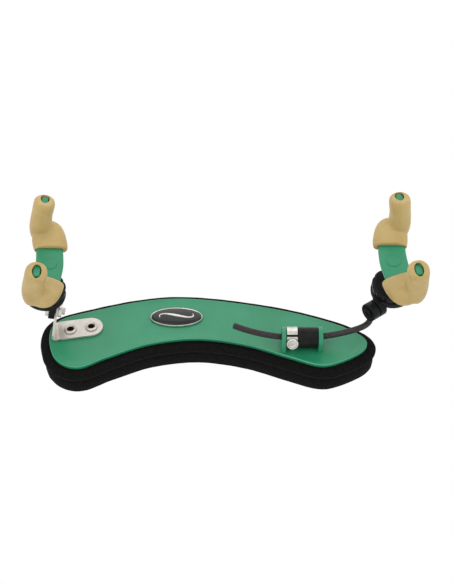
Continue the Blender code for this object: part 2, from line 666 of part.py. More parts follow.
def build_fork(side):
    """Bar with its bent ends, the boots on them, hub, post and height wheel."""
    out = FORKS[side]["out"]
    turned, leaning = fork_matrix(side), lean_matrix(side)
    middle = ring_points((Vector((0, 0, -BAR_THICK / 2)), Vector((1, 0, 0)), Vector((0, 0, -1))),
                         BAR_WIDTH, BAR_THICK, STRIP_SIDES, 5.0)
    arm = strip_rings()
    near = [mirrored(ring, out, -1) for ring in arm[::-1]]
    far = [mirrored(ring, out, 1) for ring in arm]
    mesh = skin_rings(f"{side}_fork_bar", near + [mirrored(middle, out, 1)] + far, False)
    bar = add_part(f"{side}_fork_bar", mesh, "green_plastic", turned)
    boss = pin_mesh(f"{side}_boss", BOSS_RADIUS, -1.0, BOSS_HEIGHT, 28)
    boolean(bar, add_cutter(f"{side}_boss", boss, turned), "UNION")
    for name, end in (("near", -1), ("far", 1)):
        rings = [mirrored(ring, out, end) for ring in boot_rings()]
        boot = skin_rings(f"{side}_{name}_boot", rings, True)
        add_part(f"{side}_{name}_boot", boot, "rubber", turned)
    hub_top = -(BAR_THICK + GAP)
    hub = ((0.0, hub_top), (HUB_RADIUS, hub_top), (HUB_RADIUS, hub_top - HUB_LENGTH + 1.0),
           (HUB_RADIUS - 1.0, hub_top - HUB_LENGTH), (0.0, hub_top - HUB_LENGTH))
    add_part(f"{side}_hub", turned_mesh(f"{side}_hub", hub, 28), "black_plastic", leaning)
    post = pin_mesh(f"{side}_post", POST_RADIUS, POST_BOTTOM[side], hub_top - HUB_LENGTH - GAP, 20)
    add_part(f"{side}_post", post, "black_plastic", leaning)
    build_wheel(side, leaning)


def build_wheel(side, leaning):
    """Height wheel with a scalloped rim."""
    rim = WHEEL_RADIUS
    profile = ((POST_RADIUS + GAP, WHEEL_TOP), (rim - 1.0, WHEEL_TOP), (rim, WHEEL_TOP - 0.8),
               (rim, WHEEL_BOTTOM + 0.8), (rim - 1.0, WHEEL_BOTTOM), (POST_RADIUS + GAP, WHEEL_BOTTOM))
    wheel = add_part(f"{side}_height_wheel", turned_mesh(f"{side}_height_wheel", profile, 36),
                     "black_plastic", leaning)
    work = bmesh.new()
    for step in range(WHEEL_NOTCHES):
        turn = Matrix.Rotation(2 * math.pi * step / WHEEL_NOTCHES, 4, "Z")
        place = turn @ Matrix.Translation(Vector((rim + 0.5, 0.0, (WHEEL_TOP + WHEEL_BOTTOM) / 2)) * MM)
        bmesh.ops.create_cone(work, cap_ends=True, segments=8, radius1=WHEEL_NOTCH * MM,
                              radius2=WHEEL_NOTCH * MM, depth=9.0 * MM, matrix=place)
    mesh = bpy.data.meshes.new(f"{side}_notches")
    work.to_mesh(mesh)
    work.free()
    boolean(wheel, add_cutter(f"{side}_notches", mesh, leaning), "DIFFERENCE")


def main():
    """Build the whole shoulder rest."""
    start_scene()
    build_pad_and_plate()
    build_bracket()
    build_clamp()
    build_rod()
    build_left_carrier()
    build_right_carrier()
    for side in FORKS:
        build_fork(side)


main()
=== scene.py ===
# Looks for the violin shoulder rest: foam, green plate, badge, bracket, clamped rod, two rubber-footed forks
import math

import bmesh
import bpy
from mathutils import Matrix, Vector, noise


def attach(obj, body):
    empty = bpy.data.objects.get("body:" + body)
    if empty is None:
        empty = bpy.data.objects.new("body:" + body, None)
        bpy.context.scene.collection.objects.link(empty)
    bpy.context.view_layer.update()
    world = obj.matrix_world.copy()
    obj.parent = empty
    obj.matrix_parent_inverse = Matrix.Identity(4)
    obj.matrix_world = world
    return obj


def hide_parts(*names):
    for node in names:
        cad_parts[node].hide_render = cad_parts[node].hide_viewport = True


mm = 0.001
gap = 0.3  # clearance between touching pieces, as in the CAD


# ---- small mesh tools, all sizes in millimetres ----
def meshFrom(name, points, faces):
    mesh = bpy.data.meshes.new(name)
    mesh.from_pydata([Vector(p) * mm for p in points], [], faces)
    tidy = bmesh.new()
    tidy.from_mesh(mesh)
    bmesh.ops.remove_doubles(tidy, verts=tidy.verts, dist=0.001 * mm)
    bmesh.ops.recalc_face_normals(tidy, faces=tidy.faces)
    tidy.to_mesh(mesh)
    tidy.free()
    return mesh


def loft(name, rings, closedLoop=False, caps=True):
    points = [p for ring in rings for p in ring]
    size = len(rings[0])
    faces = []
    last = len(rings) if closedLoop else len(rings) - 1
    for row in range(last):
        a, b = row * size, ((row + 1) % len(rings)) * size
        faces += [(a + k, a + (k + 1) % size, b + (k + 1) % size, b + k) for k in range(size)]
    if caps and not closedLoop:
        faces += [tuple(range(size)), tuple(range((len(rings) - 1) * size, len(rings) * size))]
    return meshFrom(name, points, faces)


def lathe(name, profile, sides=64, rim=None):
    # profile is (radius, height) pairs; rim(angle, radius, height) may change the radius
    rings = []
    for radius, height in profile:
        ring = []
        for k in range(sides):
            angle = 2 * math.pi * k / sides
            r = rim(angle, radius, height) if rim else radius
            ring.append((r * math.cos(angle), r * math.sin(angle), height))
        rings.append(ring)
    hollow = profile[0][0] > 0.01 and profile[-1][0] > 0.01 and profile[0] != profile[-1]
    return loft(name, rings, closedLoop=hollow)


def roundedProfile(corners, radius, steps=4):
    # rounds each inner corner of an open profile
    out = [corners[0]]
    for before, here, after in zip(corners, corners[1:], corners[2:]):
        a, b, c = Vector(before), Vector(here), Vector(after)
        reach = min(radius, (a - b).length * 0.45, (c - b).length * 0.45)
        start, end = b + (a - b).normalized() * reach, b + (c - b).normalized() * reach
        for k in range(steps + 1):
            t = k / steps
            out.append(tuple(start * (1 - t) ** 2 + b * 2 * t * (1 - t) + end * t * t))
    return out + [corners[-1]]


def smoothRows(rows, steps):
    # Catmull-Rom through rows of numbers
    out, last = [], len(rows) - 1
    for k in range(last):
        four = [rows[max(k - 1, 0)], rows[k], rows[k + 1], rows[min(k + 2, last)]]
        for step in range(steps):
            t = step / steps
            w = (-0.5 * t + t * t - 0.5 * t ** 3, 1 - 2.5 * t * t + 1.5 * t ** 3,
                 0.5 * t + 2 * t * t - 1.5 * t ** 3, -0.5 * t * t + 0.5 * t ** 3)
            out.append(tuple(sum(wi * r[n] for wi, r in zip(w, four)) for n in range(len(rows[0]))))
    return out + [tuple(rows[last])]


def placed(mesh, matrix):
    mesh.transform(matrix)
    if matrix.determinant() < 0:
        mesh.flip_normals()
    return mesh


def at(x, y, z):
    return Matrix.Translation(Vector((x, y, z)) * mm)


def along(origin, direction):
    turn = Vector(direction).to_track_quat("Z", "Y").to_matrix().to_4x4()
    return at(*origin) @ turn


def evaluated(obj):
    # the object's mesh with its modifiers applied, as a new mesh; the object is removed
    graph = bpy.context.evaluated_depsgraph_get()
    graph.update()
    mesh = bpy.data.meshes.new_from_object(obj.evaluated_get(graph))
    bpy.data.objects.remove(obj, do_unlink=True)
    return mesh


def temporary(name, mesh):
    obj = bpy.data.objects.new(name, mesh)
    bpy.context.scene.collection.objects.link(obj)
    return obj


def cut(mesh, *tools):
    # the mesh with the tool meshes taken out of it
    obj = temporary(mesh.name, mesh)
    cutters = [temporary("cutter", tool) for tool in tools]
    for cutter in cutters:
        modifier = obj.modifiers.new("cut", "BOOLEAN")
        modifier.operation = "DIFFERENCE"
        modifier.solver = "EXACT"
        modifier.object = cutter
    made = evaluated(obj)
    for cutter in cutters:
        bpy.data.objects.remove(cutter, do_unlink=True)
    return made


def melted(mesh, voxel, passes):
    # joins overlapping shapes into one skin and softens its edges
    obj = temporary(mesh.name, mesh)
    remesh = obj.modifiers.new("skin", "REMESH")
    remesh.mode = "VOXEL"
    remesh.voxel_size = voxel * mm
    smooth = obj.modifiers.new("soften", "SMOOTH")
    smooth.factor = 0.5
    smooth.iterations = passes
    return evaluated(obj)


def joined(name, *meshes):
    work = bmesh.new()
    for mesh in meshes:
        work.from_mesh(mesh)
    made = bpy.data.meshes.new(name)
    work.to_mesh(made)
    work.free()
    return made


def prism(name, outline, low, high):
    size = len(outline)
    points = [(x, y, low) for x, y in outline] + [(x, y, high) for x, y in outline]
    faces = [tuple(range(size)), tuple(range(size, 2 * size))]
    faces += [(k, (k + 1) % size, size + (k + 1) % size, size + k) for k in range(size)]
    return meshFrom(name, points, faces)


def addPiece(name, mesh, finishes, body, stands=(), sharp=35, bevel=0.0):
    # one finished piece: materials, shading, and what it rides on and stands for
    mesh.name = name
    piece = bpy.data.objects.new(name, mesh)
    bpy.context.scene.collection.objects.link(piece)
    mesh.materials.clear()
    for finish in finishes if isinstance(finishes, list) else [finishes]:
        mesh.materials.append(finish)
    mesh.shade_smooth()
    if sharp:
        mesh.set_sharp_from_angle(angle=math.radians(sharp))
    if bevel:
        edge = piece.modifiers.new("edge", "BEVEL")
        edge.width = bevel * mm
        edge.segments = 3
        edge.limit_method = "ANGLE"
        edge.angle_limit = math.radians(35)
    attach(piece, body)
    if stands:
        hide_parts(*stands)
    return piece


# ---- materials ----
def makeFinish(name, look):
    # colour varied by a broad noise, roughness by a finer one, and a bump from two noises
    made = bpy.data.materials.new(name)
    made.use_nodes = True
    nodes, links = made.node_tree.nodes, made.node_tree.links
    shader = nodes["Principled BSDF"]
    for socket, value in look.get("sockets", {}).items():
        shader.inputs[socket].default_value = value
    where = nodes.new("ShaderNodeTexCoord")

    def noiseOf(scale, detail, rough=0.55):
        made = nodes.new("ShaderNodeTexNoise")
        made.inputs["Scale"].default_value = scale
        made.inputs["Detail"].default_value = detail
        made.inputs["Roughness"].default_value = rough
        links.new(where.outputs["Object"], made.inputs["Vector"])
        return made.outputs["Fac"]

    ramp = nodes.new("ShaderNodeValToRGB")
    for stop, position, tone in zip(ramp.color_ramp.elements, (0.35, 0.65), ("dark", "light")):
        stop.position = position
        stop.color = (*look[tone], 1)
    links.new(noiseOf(look["colourScale"], 6), ramp.inputs["Fac"])
    links.new(ramp.outputs["Color"], shader.inputs["Base Color"])

    rough = nodes.new("ShaderNodeMapRange")
    rough.inputs["To Min"].default_value, rough.inputs["To Max"].default_value = look["rough"]
    links.new(noiseOf(look["roughScale"], 4), rough.inputs["Value"])
    links.new(rough.outputs["Result"], shader.inputs["Roughness"])

    normal = None
    for scale, strength, depth in look["bumps"]:
        bump = nodes.new("ShaderNodeBump")
        bump.inputs["Strength"].default_value = strength
        bump.inputs["Distance"].default_value = depth * mm
        links.new(noiseOf(scale, 3, 0.6), bump.inputs["Height"])
        if normal:
            links.new(normal, bump.inputs["Normal"])
        normal = bump.outputs["Normal"]
    links.new(normal, shader.inputs["Normal"])
    return made


finishLooks = {
    "foamRubber": {"dark": (0.003, 0.003, 0.003), "light": (0.008, 0.0077, 0.0073), "colourScale": 900,
                   "rough": (0.9, 1.0), "roughScale": 400, "bumps": [(1400, 0.8, 0.35), (260, 0.35, 0.5)],
                   "sockets": {"Sheen Weight": 0.01, "Sheen Roughness": 0.6, "Specular IOR Level": 0.06}},
    "greenPlastic": {"dark": (0.014, 0.205, 0.096), "light": (0.020, 0.232, 0.112), "colourScale": 45,
                     "rough": (0.32, 0.42), "roughScale": 300, "bumps": [(650, 0.08, 0.08), (60, 0.05, 0.3)],
                     "sockets": {"Coat Weight": 0.08, "Coat Roughness": 0.2, "Specular IOR Level": 0.4}},
    # lighter green for the plate's rounded top edge: a painted highlight along the rim
    "greenEdgeHighlight": {"dark": (0.06, 0.33, 0.19), "light": (0.09, 0.38, 0.23), "colourScale": 200,
                  "rough": (0.25, 0.4), "roughScale": 500, "bumps": [(900, 0.1, 0.05)], "sockets": {}},
    "amberRubber": {"dark": (0.395, 0.280, 0.100), "light": (0.475, 0.350, 0.135), "colourScale": 70,
                    "rough": (0.42, 0.55), "roughScale": 260,
                    "bumps": [(420, 0.12, 0.12), (1800, 0.08, 0.05)],
                    "sockets": {"Subsurface Weight": 0.35, "Subsurface Radius": (0.004, 0.002, 0.0008),
                                "Subsurface Scale": 1.0}},
    "blackPlastic": {"dark": (0.006, 0.006, 0.0065), "light": (0.011, 0.011, 0.012), "colourScale": 220,
                     "rough": (0.3, 0.42), "roughScale": 500, "bumps": [(1200, 0.12, 0.06)],
                     "sockets": {"Specular IOR Level": 0.12}},
    "rodCoating": {"dark": (0.013, 0.012, 0.013), "light": (0.034, 0.027, 0.027), "colourScale": 900,
                   "rough": (0.34, 0.55), "roughScale": 1500, "bumps": [(1500, 0.3, 0.12)],
                   "sockets": {"Metallic": 0.1, "Specular IOR Level": 0.3}},
    "brightNickel": {"dark": (0.50, 0.48, 0.45), "light": (0.66, 0.64, 0.61), "colourScale": 260,
                     "rough": (0.18, 0.32), "roughScale": 600, "bumps": [(900, 0.1, 0.05), (120, 0.06, 0.2)],
                     "sockets": {"Metallic": 0.95}},
    "bracketSheet": {"dark": (0.52, 0.48, 0.43), "light": (0.61, 0.57, 0.52), "colourScale": 150,
                     "rough": (0.34, 0.46), "roughScale": 500, "bumps": [(900, 0.1, 0.05), (90, 0.08, 0.2)],
                     "sockets": {"Metallic": 0.55}},
    # dark brown for the inside of the eyelet holes: painted shade in the recess
    "eyeletBoreShade": {"dark": (0.035, 0.015, 0.010), "light": (0.09, 0.04, 0.025), "colourScale": 500,
                   "rough": (0.45, 0.6), "roughScale": 700, "bumps": [(900, 0.2, 0.08)],
                   "sockets": {"Metallic": 0.6}},
    "badgeBlack": {"dark": (0.005, 0.005, 0.0055), "light": (0.010, 0.010, 0.011), "colourScale": 160,
                   "rough": (0.05, 0.1), "roughScale": 300, "bumps": [(60, 0.02, 0.1)],
                   "sockets": {"Coat Weight": 0.35, "Coat Roughness": 0.02, "Specular IOR Level": 0.2}},
}

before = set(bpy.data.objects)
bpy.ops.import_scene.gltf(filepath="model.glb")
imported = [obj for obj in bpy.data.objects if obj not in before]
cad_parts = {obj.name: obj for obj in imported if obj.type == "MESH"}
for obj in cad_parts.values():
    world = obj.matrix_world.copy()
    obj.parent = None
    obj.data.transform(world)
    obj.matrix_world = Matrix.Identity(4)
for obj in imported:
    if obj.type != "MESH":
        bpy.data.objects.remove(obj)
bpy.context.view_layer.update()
finish = {name: makeFinish(name, look) for name, look in finishLooks.items()}
print("frame loaded:", len(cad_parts), "nodes")

# ---- foam pad and plate ----
plateOutline = [
    (-109.5, -5.0), (-104.2, 8.5), (-82.3, 17.5), (-56.0, 25.2), (-32.0, 28.4), (-2.6, 25.8), (35.4, 17.5),
    (65.2, 6.7), (80.5, -2.3), (86.8, -10.0), (83.6, -18.4), (70.2, -26.9), (57.0, -30.2), (37.8, -23.0),
    (12.3, -12.7), (-17.3, -7.5), (-46.8, -11.8), (-71.9, -23.0), (-90.0, -32.0), (-104.0, -24.7)]
padSizes = {"split": 10.3, "top": 15.2, "overhang": 5.6, "setBack": 1.4, "edge": 1.5, "wobble": 0.22,
            "outlineSteps": 9}
plateSizes = {"low": 15.5, "top": 18.5, "edge": 0.55, "lip": 0.16, "earHalfWidth": 6.6, "earHole": 4.5,
              "leftEarX": 35.3, "rightEarX": 57.7, "earThick": 2.8}


def closedOutline(points, steps, offset=0.0):
    # smooth closed outline, moved outwards by offset (the points run clockwise)
    count, out = len(points), []
    for k in range(count):
        four = [points[(k + d) % count] for d in (-1, 0, 1, 2)]
        out += smoothRows(four, steps)[steps:2 * steps]
    moved = []
    for k, (x, y) in enumerate(out):
        before, after = Vector(out[k - 1]), Vector(out[(k + 1) % len(out)])
        way = (after - before).normalized()
        moved.append((x - way.y * offset, y + way.x * offset))
    return moved


def slabRings(levels):
    # levels are (offset, height)
    rings = []
    for offset, height in levels:
        outline = closedOutline(plateOutline, padSizes["outlineSteps"], offset)
        rings.append([(x, y, height) for x, y in outline])
    return rings


def foamLayer(name, low, high, offset, stands):
    edge = padSizes["edge"]
    levels = [(offset - edge - 8, low), (offset - edge, low), (offset - edge * 0.3, low + edge * 0.3),
              (offset, low + edge), (offset + 0.25, (low + high) / 2), (offset, high - edge),
              (offset - edge * 0.3, high - edge * 0.3), (offset - edge, high), (offset - edge - 6, high)]
    rings = slabRings(levels)
    mesh = loft(name, rings)
    for vertex in mesh.vertices:
        spot = vertex.co / mm
        if low + 0.1 < spot.z < high - 0.1:
            push = noise.noise(spot * 0.16) + 0.5 * noise.noise(spot * 0.5)
            away = Vector((vertex.normal.x, vertex.normal.y, 0))
            vertex.co += away * push * padSizes["wobble"] * mm
    piece = addPiece(name, mesh, finish["foamRubber"], "plate", stands, sharp=0)


foamLayer("foamPad", 0.0, padSizes["split"], padSizes["overhang"] - padSizes["setBack"], ["foam_pad"])
foamLayer("foamTopLayer", padSizes["split"] + gap, padSizes["top"], padSizes["overhang"], ["foam_top_layer"])


def earOutline():
    half, sink = plateSizes["earHalfWidth"], plateSizes["top"] - 1.0 - clampSizes["axisZ"]
    arc = [math.pi * k / 24 for k in range(25)]
    return [(half * math.cos(a), half * math.sin(a)) for a in arc] + [(-half, sink), (half, sink)]


clampSizes = {"axisY": -13.9, "axisZ": 25.3, "radius": 6.4, "bandLength": 6.6, "bandRadius": 6.7,
              "bandWall": 1.0, "slotTurn": 42.0, "slotHalf": 6.0, "screwLift": 17.0, "screwHead": 3.6,
              "boreRadius": 2.25}
eyeletSizes = {"places": ((-96.6, -1.6), (-83.8, 0.8)), "radius": 3.9, "bore": 2.1, "wall": 0.6}


def buildPlate():
    low, top, edge, lip = (plateSizes[k] for k in ("low", "top", "edge", "lip"))
    levels = [(-edge - 5, low), (-edge, low), (0, low + edge), (0, top - edge),
              (-edge * 0.3, top - edge * 0.3), (-edge, top), (-edge - 0.5, top - lip), (-edge - 6, top - lip)]
    mesh = loft("basePlate", slabRings(levels))
    drills = [placed(lathe("drill", [(0, -9), (2.7, -9), (2.7, 9), (0, 9)], 32), at(x, y, top))
              for x, y in eyeletSizes["places"]]
    mesh = cut(mesh, *drills)
    finishes = [finish["greenPlastic"], finish["greenEdgeHighlight"]]
    piece = addPiece("basePlate", mesh, finishes, "plate", ["base_plate"], sharp=50)
    # the sloping faces of the top edge get the lighter green, a painted highlight
    for face in piece.data.polygons:
        rim = 0.2 < face.normal.z < 0.9 and face.center.z / mm > top - edge - 0.02
        face.material_index = 1 if rim else 0
    for name, x in (("leftRodEar", plateSizes["leftEarX"]), ("rightRodEar", plateSizes["rightEarX"])):
        half = plateSizes["earThick"] / 2
        ear = prism(name, earOutline(), -half, half)
        hole = plateSizes["earHole"]
        ear = cut(ear, lathe("bore", [(0, -9), (hole, -9), (hole, 9), (0, 9)], 40))
        turn = Matrix.Rotation(math.pi / 2, 4, "Z") @ Matrix.Rotation(math.pi / 2, 4, "X")
        placed(ear, at(x, clampSizes["axisY"], clampSizes["axisZ"]) @ turn)
        addPiece(name, ear, finish["greenPlastic"], "plate", bevel=0.5)


buildPlate()
print("foam and plate done")

# ---- badge: bright bezel, glossy dome, and a plain scroll of the maker's own ----
badgeSizes = {"x": -31.1, "y": 10.3, "length": 33.0, "width": 16.5, "bezel": 0.6, "height": 1.0, "dome": 2.1,
              "scroll": [(-10.2, -1.6, 0.5), (-10.6, 0.4, 0.8), (-8.0, 1.6, 1.1), (-3.5, 0.9, 1.6),
                         (0.0, 0.0, 1.9), (3.5, -0.9, 1.6), (8.0, -1.6, 1.1), (10.6, -0.4, 0.8),
                         (10.2, 1.6, 0.5)]}


def ellipseRing(length, width, height, count=96):
    turns = [2 * math.pi * k / count for k in range(count)]
    return [(badgeSizes["x"] + length / 2 * math.cos(a), badgeSizes["y"] + width / 2 * math.sin(a), height)
            for a in turns]


def domeHeight(x, y):
    a, b = badgeSizes["length"] / 2 - badgeSizes["bezel"], badgeSizes["width"] / 2 - badgeSizes["bezel"]
    share = min(1.0, (x / a) ** 2 + (y / b) ** 2)
    return plateSizes["top"] + gap + 0.75 + (badgeSizes["dome"] - 0.75) * math.sqrt(1 - share)


def buildBadge():
    base, rim, tall = plateSizes["top"] + gap, badgeSizes["bezel"], badgeSizes["height"]
    length, width = badgeSizes["length"], badgeSizes["width"]
    section = [(0, 0), (0, tall * 0.55), (-rim * 0.3, tall * 0.9), (-rim * 0.7, tall),
               (-rim * 1.2, tall * 0.8), (-rim * 1.2, 0.35), (-rim * 3, 0.35), (-rim * 3, 0)]
    rings = [ellipseRing(length + 2 * d, width + 2 * d, base + h) for d, h in section]
    addPiece("badgeBezel", loft("badgeBezel", rings, closedLoop=True), finish["brightNickel"], "plate",
             ["badge_bezel"])
    domeRings = [ellipseRing(length - 2.5 * rim, width - 2.5 * rim, base + 0.4)]
    for k in range(15):
        share = math.cos(k / 14 * math.pi / 2)
        size = (length - 2 * rim - 0.8) * share, (width - 2 * rim - 0.8) * share
        height = base + 0.75 + (badgeSizes["dome"] - 0.75) * math.sin(k / 14 * math.pi / 2)
        domeRings.append(ellipseRing(max(size[0], 0.02), max(size[1], 0.02), height))
    addPiece("badgeDome", loft("badgeDome", domeRings), finish["badgeBlack"], "plate",
             ["badge_dome"])
    rows = smoothRows(badgeSizes["scroll"], 8)
    rings = []
    for k, (x, y, wide) in enumerate(rows):
        before, after = Vector(rows[max(k - 1, 0)][:2]), Vector(rows[min(k + 1, len(rows) - 1)][:2])
        way = (after - before).normalized()
        side = Vector((-way.y, way.x)) * wide / 2
        ring = []
        for across, lift in ((-1, -0.25), (-1, 0.0), (-0.5, 0.14), (0.5, 0.14), (1, 0.0), (1, -0.25)):
            px, py = x + side.x * across, y + side.y * across
            ring.append((badgeSizes["x"] + px, badgeSizes["y"] + py, domeHeight(px, py) + lift + 0.05))
        rings.append(ring)
    addPiece("badgeScroll", loft("badgeScroll", rings), finish["brightNickel"], "plate")


buildBadge()
print("badge done")

# ---- bent bracket, its eyelets and the left pivot ----
forks = {"left": {"top": (-104.3, -1.5, 74.6), "lean": 13.5, "pitch": 6.5, "turn": 2.0, "out": -1},
         "right": {"top": (99.1, -1.5, 76.7), "lean": -4.3, "pitch": 8.5, "turn": 5.7, "out": 1}}
bracketSizes = {"sheet": 1.1, "turn": 10.5, "width": 15.4, "endX": -76.3, "centreY": -3.0, "bend": 1.6,
                "pivotX": 10.0, "pivotZ": -41.5, "topRadius": 6.0, "edge": 0.18}


def leanOf(side):
    lean = Matrix.Rotation(math.radians(forks[side]["lean"]), 4, "Y")
    return at(*forks[side]["top"]) @ lean @ Matrix.Rotation(math.radians(forks[side]["pitch"]), 4, "X")


def turnedOf(side):
    return leanOf(side) @ Matrix.Rotation(math.radians(forks[side]["turn"]), 4, "Z")


def buildBracket():
    s, lean = bracketSizes, leanOf("left")
    low = plateSizes["top"] + gap
    slope = math.radians(forks["left"]["lean"])
    up = Vector((math.sin(slope), 0, math.cos(slope)))
    pivot = lean @ (Vector((s["pivotX"], 0, s["pivotZ"])) * mm) / mm
    middle = low + s["sheet"] / 2
    foot = pivot - up * ((pivot.z - middle) / up.z)
    turn, half = math.radians(s["turn"]), s["width"] / 2
    way, across = Vector((math.cos(turn), math.sin(turn), 0)), Vector((-math.sin(turn), math.cos(turn), 0))
    start = Vector((foot.x, s["centreY"], middle))
    length = s["endX"] - start.x - half
    stations = []  # centre, across, normal, lowest and highest reach across
    for k in range(13):
        a = math.pi / 2 * k / 12
        reach = max(half * math.sin(a), 0.15)
        spot = start + way * (length + half * math.cos(a))
        stations.append((spot, across, Vector((0, 0, 1)), -reach, reach))
    for share in (0.8, 0.6, 0.4, 0.22):
        stations.append((start + way * length * share, across, Vector((0, 0, 1)), -half, half))
    for k in range(9):
        t = k / 8
        first, last = start + way * s["bend"], start + up * s["bend"]
        spot = first * (1 - t) ** 2 + start * 2 * t * (1 - t) + last * t * t
        sideways = across.lerp(Vector((0, 1, 0)), t).normalized()
        tangent = (-way).lerp(up, t).normalized()
        stations.append((spot, sideways, sideways.cross(tangent).normalized() * -1, -half, half))
    rise = (pivot.z - start.z) / up.z
    offset = pivot.y - s["centreY"]
    normal = Vector((0, 1, 0)).cross(up).normalized()
    for share in (0.3, 0.5, 0.7, 0.85):
        narrow = half + (s["topRadius"] - half) * max(0, (share - 0.3) / 0.7)
        slide = offset * max(0, (share - 0.3) / 0.7)
        spot = start + up * rise * share
        stations.append((spot, Vector((0, 1, 0)), normal * -1, slide - narrow, slide + narrow))
    for k in range(13):
        a = math.pi / 2 * k / 12
        reach = max(s["topRadius"] * math.cos(a), 0.15)
        spot = start + up * (rise + s["topRadius"] * math.sin(a))
        stations.append((spot, Vector((0, 1, 0)), normal * -1, offset - reach, offset + reach))
    rings, half = [], s["sheet"] / 2
    for spot, sideways, facing, near, far in stations:
        line = [spot + sideways * (near + (far - near) * k / 8) for k in range(9)]
        rings.append([p + facing * half for p in line] + [p - facing * half for p in line[::-1]])
    mesh = loft("sideBracket", rings)
    drills = [placed(lathe("drill", [(0, -9), (2.7, -9), (2.7, 9), (0, 9)], 32), at(x, y, low))
              for x, y in eyeletSizes["places"]]
    boltAxis = lean @ at(s["pivotX"], 0, s["pivotZ"]) @ Matrix.Rotation(math.pi / 2, 4, "Y")
    drills.append(placed(lathe("drill", [(0, -5), (2.2, -5), (2.2, 5), (0, 5)], 32), boltAxis))
    addPiece("sideBracket", cut(mesh, *drills), finish["bracketSheet"], "plate",
             ["side_bracket"], bevel=s["edge"])
    return boltAxis


def buildEyelets():
    bore, radius = eyeletSizes["bore"], eyeletSizes["radius"]
    wall, head = bore + eyeletSizes["wall"], plateSizes["top"] + gap + 1.6
    shape = [(bore, 15.8), (bore, head + 0.1), (bore + 0.25, head + 0.65), (bore + 0.8, head + 0.95),
             (radius - 0.7, head + 0.8), (radius - 0.1, head + 0.35), (radius, head), (wall, head - 0.02),
             (wall - 0.02, 15.8)]
    for number, (x, y) in enumerate(eyeletSizes["places"], 1):
        mesh = lathe("eyelet", shape, 56)
        piece = addPiece(f"bracketEyelet{number}", placed(mesh, at(x, y, 0)),
                         [finish["bracketSheet"], finish["eyeletBoreShade"]], "plate",
                         [f"bracket_eyelet_{number}"], sharp=50)
        # the inward faces of the bore get the dark brown, painted shade
        for face in piece.data.polygons:
            inward = Vector((x * mm - face.center.x, y * mm - face.center.y)).dot(face.normal.xy)
            if inward > 0 and face.center.z / mm < head + 0.12:
                face.material_index = 1
        # a dark disc closing the bottom of the bore, painted shade standing for the hole's depth
        plug = lathe("plug", [(0, 15.9), (bore - 0.05, 15.9), (bore - 0.05, 16.5), (0, 16.6)], 40)
        addPiece(f"eyeletShadeFloor{number}", placed(plug, at(x, y, 0)), finish["eyeletBoreShade"], "plate")


def hexRim(flat):
    # radius of a hexagon along each direction
    return lambda angle, radius, height: radius if radius < flat else \
        min(radius, flat / math.cos((angle + math.pi / 6) % (math.pi / 3) - math.pi / 6))


def threadRim(pitch, depth):
    return lambda angle, radius, height: radius if radius < 0.5 else \
        radius - depth * (0.5 + 0.5 * math.cos(2 * math.pi * height / pitch - angle))


def buildLeftPivot(axis):
    inner = bracketSizes["sheet"] / 2 + gap
    far = -(bracketSizes["sheet"] / 2 + gap + 3.9 + gap)
    head = roundedProfile([(0, inner + 2.2), (4.4, inner + 2.2), (4.4, inner), (1.9, inner)], 0.5)
    shank = [(1.9, inner - (inner - far + 1.9) * k / 90) for k in range(1, 91)]
    profile = head + shank + [(0, far - 1.9)]
    mesh = lathe("leftPivotBolt", profile, 72, lambda a, r, h: hexRim(3.9)(a, r, h) if h >= inner else
                 threadRim(0.7, 0.18)(a, r, h))
    addPiece("leftPivotBolt", placed(mesh, axis), finish["brightNickel"], "plate",
             ["left_pivot_bolt"])
    nut = roundedProfile([(2.2, far), (5.0, far), (5.0, far - 1.9), (2.2, far - 1.9)], 0.35)
    addPiece("leftPivotNut", placed(lathe("leftPivotNut", nut, 72, hexRim(4.4)), axis),
             finish["brightNickel"], "plate", ["left_pivot_nut"])


pivotAxis = buildBracket()
buildEyelets()
buildLeftPivot(pivotAxis)
print("bracket done")

# ---- clamp and curved rod ----
rodSizes = {"radius": 1.9, "arc": 85.0, "arcX": 45.0, "left": -28.2, "right": 22.0, "reach": 6.0}
hingeSizes = {"turn": 38.0, "lug": (92.2, -4.6, 42.0), "pitch": 5.6, "radius": 5.7, "thick": 5.0,
              "screw": 1.25}
hingeWay = Vector((math.cos(math.radians(hingeSizes["turn"])), math.sin(math.radians(hingeSizes["turn"])), 0))
eyeCentre = Vector(hingeSizes["lug"]) - hingeWay * hingeSizes["pitch"]


def arcPoint(degrees):
    a = math.radians(degrees)
    return Vector((rodSizes["arcX"] + rodSizes["arc"] * math.sin(a), clampSizes["axisY"],
                   clampSizes["axisZ"] + rodSizes["arc"] * (1 - math.cos(a))))


def tubeRings(route, radii, sides=28):
    rings, sideways = [], Vector((0, 1, 0))
    for k, spot in enumerate(route):
        way = (route[min(k + 1, len(route) - 1)] - route[max(k - 1, 0)]).normalized()
        sideways = (sideways - way * sideways.dot(way)).normalized()
        other = way.cross(sideways)
        turns = [2 * math.pi * n / sides for n in range(sides)]
        rings.append([spot + (sideways * math.cos(a) + other * math.sin(a)) * radii[k] for a in turns])
    return rings


def buildRod():
    left, right = rodSizes["left"], rodSizes["right"]
    route = [arcPoint(left + (right - left) * k / 60) for k in range(61)]
    heading = Vector((math.cos(math.radians(right)), 0, math.sin(math.radians(right))))
    finishSpot = eyeCentre - Vector((0, 0, hingeSizes["radius"] + 2 * gap))
    near, far = route[-1] + heading * rodSizes["reach"], finishSpot - Vector((0, 0, rodSizes["reach"] * 0.8))
    start = route[-1]
    for k in range(1, 17):
        t = k / 16
        route.append(start * (1 - t) ** 3 + near * 3 * t * (1 - t) ** 2 + far * 3 * t * t * (1 - t)
                     + finishSpot * t ** 3)
    tip = [arcPoint(left - 0.02), arcPoint(left)]
    radii = [rodSizes["radius"] * 0.8, rodSizes["radius"]] + [rodSizes["radius"]] * (len(route) - 1)
    mesh = loft("adjustingRod", tubeRings(tip + route[1:], radii))
    addPiece("adjustingRod", mesh, finish["rodCoating"], "rod", ["adjusting_rod"], sharp=50)


